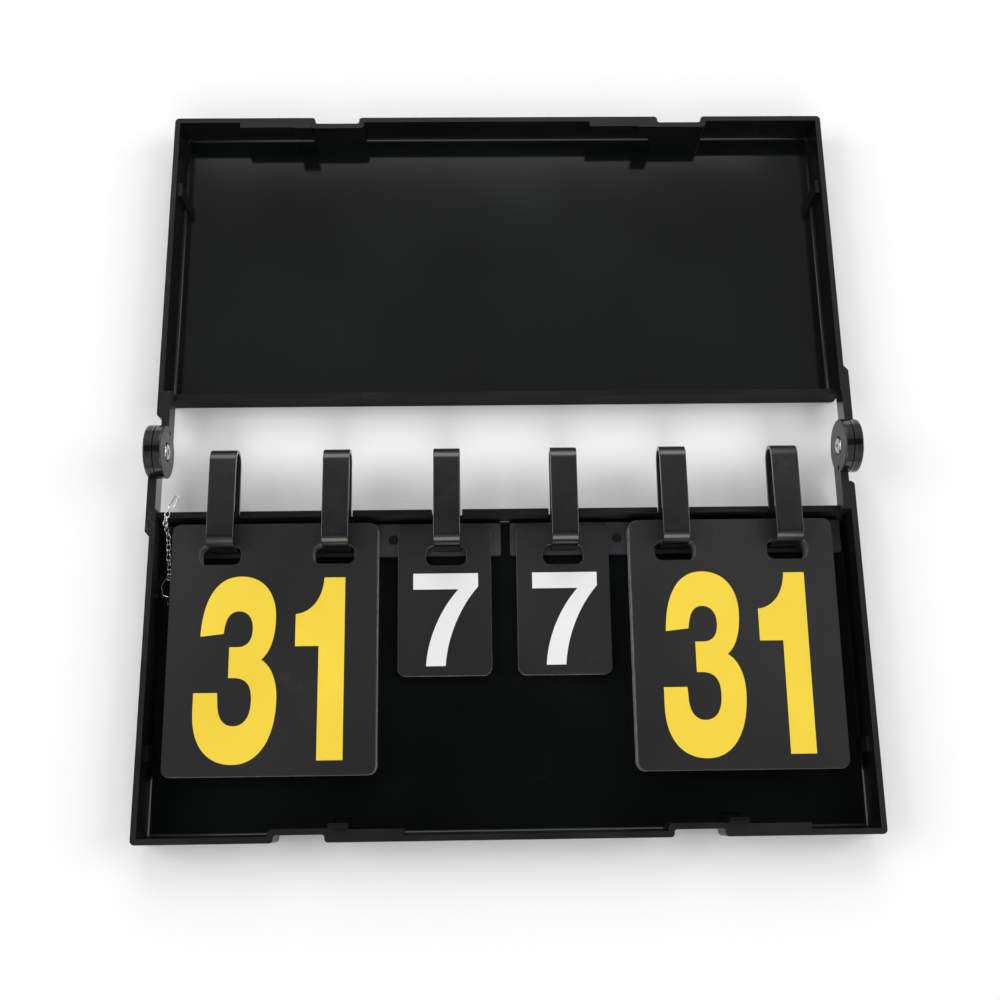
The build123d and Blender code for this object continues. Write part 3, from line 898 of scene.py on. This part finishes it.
@dataclass
class Pen:
    """Draws a flat outline from straight lines and cubic curves, one unit tall."""

    start: tuple[float, float]
    steps: int = 18
    points: Outline = field(default_factory=list)

    def __post_init__(self) -> None:
        """Puts the pen down."""
        self.points.append(self.start)

    def line(self, *ends: tuple[float, float]) -> Pen:
        """Draws straight lines.

        Args:
            ends: the points to draw to, in turn.

        Returns:
            The pen.
        """
        self.points.extend(ends)
        return self

    def curve(
        self, first: tuple[float, float], second: tuple[float, float], end: tuple[float, float]
    ) -> Pen:
        """Draws a cubic curve.

        Args:
            first: the handle of the pen's place.
            second: the handle of the end point.
            end: the point to draw to.

        Returns:
            The pen.
        """
        corners = (self.points[-1], first, second, end)
        for step in range(1, self.steps + 1):
            t = step / self.steps
            s = 1 - t
            weights = (s ** 3, 3 * s * s * t, 3 * s * t * t, t ** 3)
            self.points.append(tuple(sum(w * c[i] for w, c in zip(weights, corners)) for i in (0, 1)))
        return self


def figure_three() -> list[Outline]:
    """Draws a bold narrow 3 about its own middle."""
    pen = Pen((-0.197, 0.675)).curve((-0.190, 0.870), (-0.125, 1.0), (0.011, 1.0))
    pen.curve((0.140, 1.0), (0.2055, 0.900), (0.2055, 0.773))
    pen.curve((0.2055, 0.660), (0.178, 0.585), (0.132, 0.548))
    pen.curve((0.190, 0.515), (0.220, 0.430), (0.220, 0.341))
    pen.curve((0.220, 0.130), (0.135, 0.0), (-0.002, 0.0))
    pen.curve((-0.145, 0.0), (-0.2215, 0.110), (-0.2215, 0.274))
    pen.line((-0.2215, 0.3745), (-0.095, 0.3745), (-0.092, 0.326))
    pen.curve((-0.091, 0.245), (-0.060, 0.1995), (-0.005, 0.1995))
    pen.curve((0.055, 0.1995), (0.086, 0.250), (0.086, 0.334))
    pen.curve((0.086, 0.415), (0.055, 0.4527), (-0.014, 0.4527))
    pen.line((-0.040, 0.4527), (-0.040, 0.6165), (0.004, 0.6165))
    pen.curve((0.058, 0.6165), (0.083, 0.655), (0.083, 0.713))
    pen.curve((0.083, 0.775), (0.052, 0.810), (0.007, 0.810))
    pen.curve((-0.048, 0.810), (-0.068, 0.760), (-0.074, 0.675))
    return [pen.points[:-1]]


def figure_one() -> list[Outline]:
    """Draws a bold 1 with a swept flag, to the right of the figure before it."""
    pen = Pen((0.463, 0.990)).line(
        (0.576, 0.990), (0.576, 0.017), (0.438, 0.017), (0.438, 0.618), (0.3115, 0.618), (0.3115, 0.7915)
    )
    pen.curve((0.395, 0.800), (0.455, 0.870), (0.463, 0.990))
    return [pen.points[:-1]]


def figure_seven() -> list[Outline]:
    """Draws a bold 7 with a curved stem, about the middle of its bar."""
    half = 0.3515
    pen = Pen((-half, 1.0)).line((half, 1.0), (half, 0.853))
    pen.curve((0.520 - half, 0.650), (0.370 - half, 0.330), (0.348 - half, 0.0))
    pen.line((0.139 - half, 0.0))
    pen.curve((0.155 - half, 0.300), (0.300 - half, 0.620), (0.491 - half, 0.826))
    pen.line((-half, 0.826))
    return [pen.points]


def closed_loop(
    middle: tuple[float, float], half: tuple[float, float], squareness: float, steps: int = 56
) -> Outline:
    """Draws an upright rounded loop, counter-clockwise.

    Args:
        middle: its centre.
        half: its half width and half height.
        squareness: 2 is an ellipse, and more is squarer.
        steps: points round it.

    Returns:
        The loop's points.
    """
    points = []
    for step in range(steps):
        angle = 2 * math.pi * step / steps
        c, s = math.cos(angle), math.sin(angle)
        x = math.copysign(abs(c) ** (2 / squareness), c) * half[0]
        y = math.copysign(abs(s) ** (2 / squareness), s) * half[1]
        points.append((middle[0] + x, middle[1] + y))
    return points


def banded(outer: Outline, inner: Outline) -> list[Outline]:
    """Splits the band between two loops into four-cornered outlines.

    Args:
        outer: the outer loop.
        inner: the inner loop, with as many points.

    Returns:
        One outline for each stretch of the band.
    """
    following = [(i + 1) % len(outer) for i in range(len(outer))]
    return [[outer[i], outer[j], inner[j], inner[i]] for i, j in enumerate(following)]


def figure_zero() -> list[Outline]:
    """Draws a bold narrow 0, to the right of the figure before it."""
    middle = (0.478, 0.5)
    return banded(closed_loop(middle, (0.215, 0.5), 2.5), closed_loop(middle, (0.083, 0.335), 2.4))


def figure_six() -> list[Outline]:
    """Draws a bold 6 about its own middle: a bowl, and a stem that sweeps up out of it."""
    middle = (0.0, 0.315)
    bowl = banded(closed_loop(middle, (0.30, 0.315), 2.3), closed_loop(middle, (0.135, 0.165), 2.2))
    stem = Pen((-0.296, 0.36)).curve((-0.330, 0.80), (-0.160, 1.0), (0.045, 1.0))
    stem.curve((0.190, 1.0), (0.280, 0.905), (0.288, 0.745)).line((0.130, 0.745))
    stem.curve((0.120, 0.820), (0.085, 0.850), (0.035, 0.850))
    stem.curve((-0.080, 0.850), (-0.150, 0.700), (-0.140, 0.36))
    return bowl + [stem.points]


def raised_outlines(
    name: str, outlines: list[Outline], scale: float, place: Matrix, thickness: float
) -> bpy.types.Mesh:
    """Raises flat outlines into thin closed plates.

    Args:
        name: the mesh's name.
        outlines: the outlines, one unit tall.
        scale: metres per unit.
        place: where the outlines' plane lies.
        thickness: of the plates, in metres.

    Returns:
        The mesh.
    """
    work = bmesh.new()
    for outline in outlines:
        low = [work.verts.new(place @ Vector((x * scale, y * scale, 0))) for x, y in outline]
        high = [work.verts.new(place @ Vector((x * scale, y * scale, thickness))) for x, y in outline]
        work.faces.new(high)
        work.faces.new(low[::-1])
        for i, vert in enumerate(low):
            j = (i + 1) % len(low)
            work.faces.new((vert, low[j], high[j], high[i]))
    bmesh.ops.recalc_face_normals(work, faces=work.faces)
    bmesh.ops.triangulate(work, faces=[f for f in work.faces if len(f.verts) > 4])
    mesh = bpy.data.meshes.new(name)
    work.to_mesh(mesh)
    work.free()
    return mesh


# ---- Cards ---------------------------------------------------------------------------------------
Figure = Callable[[], list[Outline]]


@dataclass(frozen=True)
class CardLayout:
    """What a size of card carries and how it lies, in millimetres and degrees."""

    count: int
    figures: tuple[Figure, ...]
    next_figures: tuple[Figure, ...]
    ink: Finish
    figure_height: float
    baseline_drop: float
    figure_shift: float
    tilt: float


LAYOUTS = {
    CardSize.LARGE: CardLayout(
        count=32, figures=(figure_three, figure_one), next_figures=(figure_three, figure_zero), ink=YELLOW_INK,
        figure_height=99.0, baseline_drop=127.9, figure_shift=-18.6, tilt=1.37,
    ),
    CardSize.SMALL: CardLayout(
        count=8, figures=(figure_seven,), next_figures=(figure_six,), ink=WHITE_INK,
        figure_height=50.4, baseline_drop=77.3, figure_shift=0.6, tilt=2.0,
    ),
}


@dataclass
class CardStack:
    """One stack of flip cards: the top card with its printed figures, and the pile under it.

    Sizes are in millimetres.
    """

    side: Side
    size: CardSize
    edge_round: float = 0.07
    ink_thickness: float = 0.03
    ink_stand: float = 0.002
    pitch: float = 0.352
    top_gap: float = 0.08
    sway: float = 0.28
    slip: float = 0.24
    seed: int = 7

    @property
    def layout(self) -> CardLayout:
        """The layout of this size of card."""
        return LAYOUTS[self.size]

    @property
    def label(self) -> str:
        """The stack's side and size as they stand in body names."""
        return f"{self.side.value}_{self.size.value}"

    @property
    def card_node(self) -> str:
        """The CAD node of the top card."""
        return f"{self.size.value}_card_{self.side.value}"

    @property
    def tilt(self) -> Matrix:
        """The lean of the stack."""
        return Matrix.Rotation(math.radians(self.layout.tilt), 4, "X")

    def build(self) -> list[bpy.types.Object]:
        """Makes the top card, the pile and what is printed on them.

        Returns:
            The four pieces.
        """
        drop = (self.pitch + self.top_gap) * MM
        return [
            self._card(),
            self._print(f"{self.label}_figures", f"{self.label}_card", self.layout.figures, 0.0),
            self._pile(),
            self._print(f"{self.label}_next_figures", f"{self.label}_pile", self.layout.next_figures, drop),
        ]

    def _card(self) -> bpy.types.Object:
        """Makes the top card, with the paler finish on its cut edges.

        Returns:
            The card.
        """
        piece = softened(self.card_node, f"{self.label}_top_card", self.edge_round)
        piece.data.materials.append(CARD_FACE.material())
        piece.data.materials.append(CARD_EDGE.material())
        for face in piece.data.polygons:
            face.material_index = int(abs(face.normal.z) < CUT_EDGE_LEAN)
        return finish_piece(piece, f"{self.label}_card", [], "card_vinyl", self.card_node)

    def _print(self, name: str, body: str, figures: tuple[Figure, ...], drop: float) -> bpy.types.Object:
        """Makes printed figures.

        Args:
            name: the piece's name.
            body: the body it rides on.
            figures: the figures.
            drop: how far under the top card's face they lie, in metres.

        Returns:
            The print.
        """
        layout = self.layout
        low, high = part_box(self.card_node)
        top = Vector(((low.x + high.x) / 2, high.y, high.z + self.ink_stand * MM))
        place = Matrix.Translation(top) @ self.tilt
        place = place @ Matrix.Translation((layout.figure_shift * MM, -layout.baseline_drop * MM, -drop))
        outlines = [outline for figure in figures for outline in figure()]
        mesh = raised_outlines(name, outlines, layout.figure_height * MM, place, self.ink_thickness * MM)
        return finish_piece(add_object(name, mesh), body, [layout.ink.material()], "card_vinyl")

    def _pile(self) -> bpy.types.Object:
        """Makes the pile of cards under the top one, from copies of one card.

        Returns:
            The pile.
        """
        node = f"{self.size.value}_pile_{self.side.value}"
        piece = softened(self.card_node, f"{self.label}_card_pile", self.edge_round, 1)
        up = self.tilt @ Vector((0, 0, 1))
        values = {
            "Count": self.layout.count - 1,
            "First": -up * (self.pitch + self.top_gap) * MM,
            "Step": -up * self.pitch * MM,
            "Least slip": Vector((-self.sway, -self.slip, 0)) * MM,
            "Most slip": Vector((self.sway, 0, 0)) * MM,
            "Seed": self.seed + self.side.sign,
            "Up": up,
            "Face finish": CARD_FACE.material(),
            "Edge finish": CARD_EDGE.material(),
        }
        piece = Maker.applied(piece, Maker.stacked_cards(), values)
        return finish_piece(piece, f"{self.label}_pile", [], "card_vinyl", node)


# ---- Chain ---------------------------------------------------------------------------------------
@dataclass
class Chain:
    """The short chain, its open hook and its clip. Sizes are in millimetres."""

    body: str = "card_case"
    wire: float = 0.86
    link_length: float = 4.4
    link_width: float = 3.4
    pitch: float = 2.6
    turn: float = 45.0
    steps_round: int = 20
    steps_section: int = 8
    edge_round: float = 0.02
    route: tuple[tuple[float, float, float], ...] = (
        (-184.0, -33.2, 18.0), (-185.4, -37.9, 17.6), (-186.0, -40.6, 12.0), (-185.6, -44.6, 7.7),
        (-185.0, -56.4, 7.3), (-184.9, -61.6, 4.3), (-184.9, -66.4, 3.9),
    )

    def build(self) -> list[bpy.types.Object]:
        """Makes the chain's three pieces.

        Returns:
            The links, the hook and the clip.
        """
        made = [self._links()]
        for node, name in (("chain_hook", "wire_hook"), ("chain_clip", "wire_clip")):
            piece = softened(node, name, self.edge_round, 1)
            smooth_between(piece.data, WIRE_ANGLE)
            made.append(finish_piece(piece, self.body, [NICKEL_WIRE.material()], "chain_steel", node))
        return made

    def _link(self) -> bpy.types.Mesh:
        """Makes one oval wire link, long along X and lying in the XY plane.

        Returns:
            The link's mesh.
        """
        straight = (self.link_length - self.link_width) / 2
        radius = (self.link_width - self.wire) / 2
        middles = []
        for i in range(self.steps_round):
            angle = 2 * math.pi * (i + 0.5) / self.steps_round
            outward = Vector((math.cos(angle), math.sin(angle), 0))
            middles.append(outward * radius + Vector((math.copysign(straight, outward.x), 0, 0)))
        return self._wire_loop(middles)

    def _wire_loop(self, middles: list[Vector]) -> bpy.types.Mesh:
        """Sweeps the chain's wire along a closed flat loop.

        Args:
            middles: the loop's points, in millimetres, all at one height.

        Returns:
            The mesh, in metres.
        """
        work = bmesh.new()
        rows = []
        for i, middle in enumerate(middles):
            along = (middles[(i + 1) % len(middles)] - middles[i - 1]).normalized()
            outward = Vector((along.y, -along.x, 0))
            row = []
            for j in range(self.steps_section):
                angle = 2 * math.pi * j / self.steps_section
                around = outward * math.cos(angle) + Vector((0, 0, math.sin(angle)))
                row.append(work.verts.new((middle + self.wire / 2 * around) * MM))
            rows.append(row)
        for row, following in zip(rows, rows[1:] + rows[:1]):
            for j in range(self.steps_section):
                k = (j + 1) % self.steps_section
                work.faces.new((row[j], following[j], following[k], row[k]))
        bmesh.ops.recalc_face_normals(work, faces=work.faces)
        mesh = bpy.data.meshes.new("link")
        work.to_mesh(mesh)
        work.free()
        smooth_between(mesh, WIRE_ANGLE)
        return mesh

    def _links(self) -> bpy.types.Object:
        """Sets links along the chain's route.

        Returns:
            The links.
        """
        curve = bpy.data.curves.new("chain_route", "CURVE")
        curve.dimensions = "3D"
        spline = curve.splines.new("POLY")
        spline.points.add(len(self.route) - 1)
        for point, place in zip(spline.points, self.route):
            point.co = (*(Vector(place) * MM), 1)
        route = add_object("chain_route", curve)
        values = {
            "Path": route, "Pitch": self.pitch * MM, "Turn": math.radians(self.turn),
            "Finish": NICKEL_WIRE.material(),
        }
        piece = Maker.applied(add_object("link_chain", self._link()), Maker.chain_run(), values)
        bpy.data.objects.remove(route)
        bpy.data.curves.remove(curve)
        return finish_piece(piece, self.body, [], "chain_steel", "chain_links")


# ---- Studio --------------------------------------------------------------------------------------
@dataclass(frozen=True)
class SoftBox:
    """A square light that looks at the board, in metres and watts."""

    name: str
    place: tuple[float, float, float]
    size: float
    power: float


SOFT_BOXES = (
    SoftBox("soft_box_left", (-1.9, 0.2, 1.5), 1.5, 22.5),
    SoftBox("soft_box_right", (1.9, 0.2, 1.5), 1.5, 22.5),
    SoftBox("soft_box_back", (0.0, 2.1, 1.7), 1.6, 21.0),
    SoftBox("soft_box_front", (0.1, -2.3, 1.5), 1.6, 21.0),
)


@dataclass
class Studio:
    """Pale floor, soft lights and the camera, in metres and degrees."""

    camera_place: tuple[float, float, float] = (-0.01469, -0.19170, 0.61679)
    camera_turns: tuple[float, float, float] = (-14.776, 0.872, 0.828)
    lens: float = 42.07
    sensor: float = 36.0
    dim_reach: tuple[float, float] = (0.6, 0.27)
    dim_edge: tuple[float, float] = (0.8, 1.3)
    overhead_level: float = 0.012
    room_level: float = 0.435
    least_height: float = 0.02
    table_reach: float = 6.0
    table_level: float = -0.0002

    def build(self) -> None:
        """Makes the floor, the lights, the surroundings and the camera."""
        self._floor()
        self._lights()
        self._surroundings()
        self._camera()
        bpy.context.scene.view_settings.view_transform = "Standard"

    def _floor(self) -> None:
        """Makes the pale table top."""
        reach = self.table_reach
        corners = ((-reach, -reach), (reach, -reach), (reach, reach), (-reach, reach))
        mesh = bpy.data.meshes.new("table_top")
        mesh.from_pydata([(x, y, self.table_level) for x, y in corners], [], [(0, 1, 2, 3)])
        floor = add_object("table_top", mesh)
        material = bpy.data.materials.new("white_table")
        material.use_nodes = True
        shader = material.node_tree.nodes["Principled BSDF"]
        shader.inputs["Base Color"].default_value = (0.93, 0.93, 0.93, 1)
        shader.inputs["Roughness"].default_value = 0.9
        shader.inputs["Specular IOR Level"].default_value = 0.1
        mesh.materials.append(material)

    def _lights(self) -> None:
        """Makes four large soft boxes round the board."""
        for box in SOFT_BOXES:
            lamp = bpy.data.lights.new(box.name, "AREA")
            lamp.shape = "SQUARE"
            lamp.size = box.size
            lamp.energy = box.power
            light = add_object(box.name, lamp)
            light.location = box.place
            light.rotation_euler = (-Vector(box.place)).to_track_quat("-Z", "Y").to_euler()

    def _surroundings(self) -> None:
        """A pale room with a dim oval overhead."""
        world = bpy.data.worlds.new("studio")
        bpy.context.scene.world = world
        world.use_nodes = True
        tree = world.node_tree
        nodes, links = tree.nodes, tree.links
        background = nodes["Background"]
        place = nodes.new("ShaderNodeTexCoord")
        parts = nodes.new("ShaderNodeSeparateXYZ")
        links.new(place.outputs["Generated"], parts.inputs["Vector"])
        height = math_node(tree, "MAXIMUM", parts.outputs["Z"], self.least_height)
        squares = []
        for axis, reach in zip("XY", self.dim_reach):
            lean = math_node(tree, "DIVIDE", parts.outputs[axis], height)
            share = math_node(tree, "DIVIDE", lean, reach)
            squares.append(math_node(tree, "POWER", share, 2.0))
        total = math_node(tree, "ADD", *squares)
        ramp = nodes.new("ShaderNodeMapRange")
        ramp.interpolation_type = "SMOOTHSTEP"
        ramp.inputs["From Min"].default_value = self.dim_edge[0] ** 2
        ramp.inputs["From Max"].default_value = self.dim_edge[1] ** 2
        ramp.inputs["To Min"].default_value = self.overhead_level
        ramp.inputs["To Max"].default_value = self.room_level
        links.new(total, ramp.inputs["Value"])
        links.new(ramp.outputs["Result"], background.inputs["Strength"])
        background.inputs["Color"].default_value = (1.0, 1.0, 1.0, 1)

    def _camera(self) -> None:
        """Makes the camera above the front of the board, looking down at the hinge line."""
        data = bpy.data.cameras.new("view")
        data.lens = self.lens
        data.sensor_width = self.sensor
        camera = add_object("view", data)
        turn = Matrix.Identity(3)
        for axis, angle in zip("XYZ", self.camera_turns):
            turn = turn @ Matrix.Rotation(math.radians(angle), 3, axis)
        place = Vector(self.camera_place) + Vector((0, 0, hinge_height()))
        camera.matrix_world = Matrix.Translation(place) @ turn.transposed().to_4x4()
        bpy.context.scene.camera = camera


# ---- The whole board -----------------------------------------------------------------------------
def main() -> None:
    """Builds every piece of the board and its studio."""
    logging.basicConfig(level=logging.INFO, format="%(name)s: %(message)s")
    Studio().build()
    Chain().build()
    Tray("lower_shell", "card_case").build()
    Tray("upper_shell", "lid_case").build()
    Hinge(Side.LEFT, "card_case").build()
    Hinge(Side.RIGHT, "lid_case").build()
    for node in sorted(frame["nodes"]):
        if node.endswith("_ring"):
            CardRing(node).build()
    for side in Side:
        RingBar(side).build()
        for size in CardSize:
            CardStack(side, size).build()


if __name__ == "__main__":
    main()
